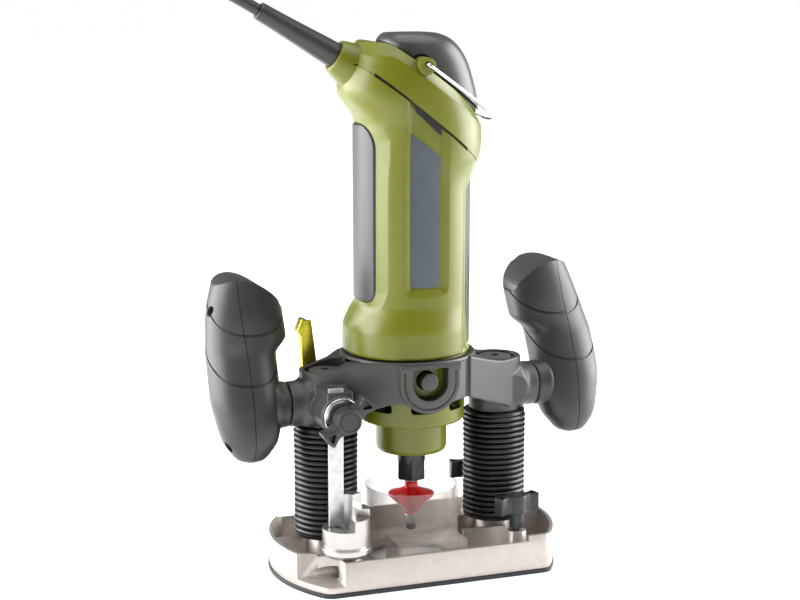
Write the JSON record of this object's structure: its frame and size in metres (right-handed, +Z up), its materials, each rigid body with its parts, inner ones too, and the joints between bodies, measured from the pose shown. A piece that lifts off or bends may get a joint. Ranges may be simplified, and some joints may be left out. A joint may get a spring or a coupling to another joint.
{
  "type": "plunge router",
  "caption": "Hand-held plunge router: corded motor on a sprung column base, with side grips, stepped depth stop, clear chip cup and chamfer cutter.",
  "frame": {"origin": "centre of the sole's underside, on the spindle axis", "axes": "+Z up along the spindle and the columns, +X to the right-hand grip, -Y to the front, where the label and the spindle-lock button are"},
  "size_m": [0.5592, 0.1103, 0.3937],
  "materials": {
    "lime_plastic": "satin moulded",
    "housing_grey": "satin, fine grain",
    "soft_grip": "matt soft-touch",
    "black_plastic": "satin moulded",
    "black_rubber": "satin",
    "cast_aluminium": "die cast, ground sides",
    "bright_aluminium": "turned",
    "galvanised_steel": "zinc plated",
    "ground_steel": "ground",
    "dark_steel": "black oxide",
    "bright_wire": "polished",
    "bronze": "sintered",
    "copper": "varnished winding",
    "carbon": "pressed carbon",
    "lamination_steel": "varnished stack",
    "red_enamel": "glossy enamel",
    "passivated_steel": "yellow passivated",
    "label_grey": "printed film, plain",
    "clear_plastic": "clear moulded"
  },
  "bodies": {
    "base": {"sole_plate": "black_plastic", "base_casting": "cast_aluminium", "left_column": "ground_steel", "right_column": "ground_steel", "left_stop_screw": "dark_steel", "right_stop_screw": "dark_steel", "left_bellows": "black_rubber", "right_bellows": "black_rubber", "left_spring": "ground_steel", "right_spring": "ground_steel", "turret_screw": "ground_steel", "chip_shield": "clear_plastic", "cord_lead": "black_rubber", "cord_coil": "black_rubber", "cord_tail": "black_rubber", "plug_body": "black_rubber", "plug_pin_front": "bright_wire", "plug_pin_rear": "bright_wire"},
    "carriage": {"plunge_housing": "housing_grey", "left_column_bush": "bronze", "right_column_bush": "bronze", "clamp_washer": "black_rubber", "left_handle_inner": "soft_grip", "left_handle_outer": "soft_grip", "left_handle_bolt": "ground_steel", "right_handle_inner": "soft_grip", "right_handle_outer": "soft_grip", "right_handle_bolt": "ground_steel", "motor_housing_front": "lime_plastic", "motor_housing_rear": "lime_plastic", "left_grip_pad": "soft_grip", "right_grip_pad": "soft_grip", "label_plate": "label_grey", "switch_module": "black_plastic", "end_cap": "housing_grey", "spindle_nose": "lime_plastic", "stator": "lamination_steel", "front_bearing": "ground_steel", "rear_bearing": "ground_steel", "bearing_bracket": "black_plastic", "front_brush_holder": "bronze", "rear_brush_holder": "bronze", "front_carbon_brush": "carbon", "rear_carbon_brush": "carbon", "cord_boot": "black_rubber"},
    "depth_rod": {"depth_bar": "galvanised_steel"},
    "clamp_knob": {"depth_clamp_knob": "black_plastic"},
    "lock_lever": {"plunge_lock_lever": "passivated_steel"},
    "depth_turret": {"turret": "bright_aluminium"},
    "front_knob": {"front_guide_knob": "black_plastic"},
    "rear_knob": {"rear_guide_knob": "black_plastic"},
    "spindle": {"motor_shaft": "ground_steel", "armature": "copper", "cooling_fan": "black_plastic", "collet_nut": "dark_steel", "router_bit": "red_enamel"},
    "guide_bearing": {"bit_bearing": "bright_wire"},
    "lock_button": {"spindle_lock_button": "housing_grey"},
    "switch_slide": {"power_switch": "black_plastic"},
    "bail": {"hanging_bail": "bright_wire"}
  },
  "joints": [
    {"name": "plunge", "type": "slide", "parent": "base", "child": "carriage", "axis": [0, 0, -1], "range_m": [0, 0.032], "stiffness_N_per_m": 700, "springref_m": -0.05, "deforming": ["left_bellows", "right_bellows", "left_spring", "right_spring", "cord_lead"]},
    {"name": "depth_bar_slide", "type": "slide", "parent": "carriage", "child": "depth_rod", "axis": [0, 0, 1], "range_m": [0, 0.032]},
    {"name": "clamp_knob_turn", "type": "hinge", "parent": "carriage", "child": "clamp_knob", "pos_m": [-0.0608, -0.0482, 0.1115], "axis": [0, 1, 0], "range_deg": [0, 270]},
    {"name": "plunge_lock_turn", "type": "hinge", "parent": "carriage", "child": "lock_lever", "pos_m": [-0.0615, 0.0202, 0.118], "axis": [0, 1, 0], "range_deg": [0, 24]},
    {"name": "turret_turn", "type": "hinge", "parent": "base", "child": "depth_turret", "pos_m": [-0.0578, -0.0372, 0.04], "axis": [0, 0, 1], "range_deg": [-95, 20]},
    {"name": "front_knob_turn", "type": "hinge", "parent": "base", "child": "front_knob", "pos_m": [0.0586, -0.0378, 0.043], "axis": [0, 0, 1], "range_deg": [0, 270]},
    {"name": "rear_knob_turn", "type": "hinge", "parent": "base", "child": "rear_knob", "pos_m": [0.0586, 0.0378, 0.047], "axis": [0, 0, 1], "range_deg": [0, 270]},
    {"name": "spindle_spin", "type": "hinge", "parent": "carriage", "child": "spindle", "pos_m": [0, 0, 0.12], "axis": [0, 0, 1], "continuous": true},
    {"name": "bit_bearing_spin", "type": "hinge", "parent": "spindle", "child": "guide_bearing", "pos_m": [0, 0, 0.0288], "axis": [0, 0, 1], "continuous": true},
    {"name": "spindle_lock_push", "type": "slide", "parent": "carriage", "child": "lock_button", "axis": [0, 1, 0], "range_m": [0, 0.0035], "stiffness_N_per_m": 400, "springref_m": -0.002},
    {"name": "power_switch_slide", "type": "slide", "parent": "carriage", "child": "switch_slide", "axis": [0, 0, 1], "range_m": [0, 0.006]},
    {"name": "bail_swing", "type": "hinge", "parent": "carriage", "child": "bail", "pos_m": [-0.0035, 0, 0.3262], "axis": [0, 1, 0], "range_deg": [-125, 0]}
  ],
  "couplings": [
    {"joint": "depth_bar_slide", "follows": "plunge", "ratio": 1}
  ]
}
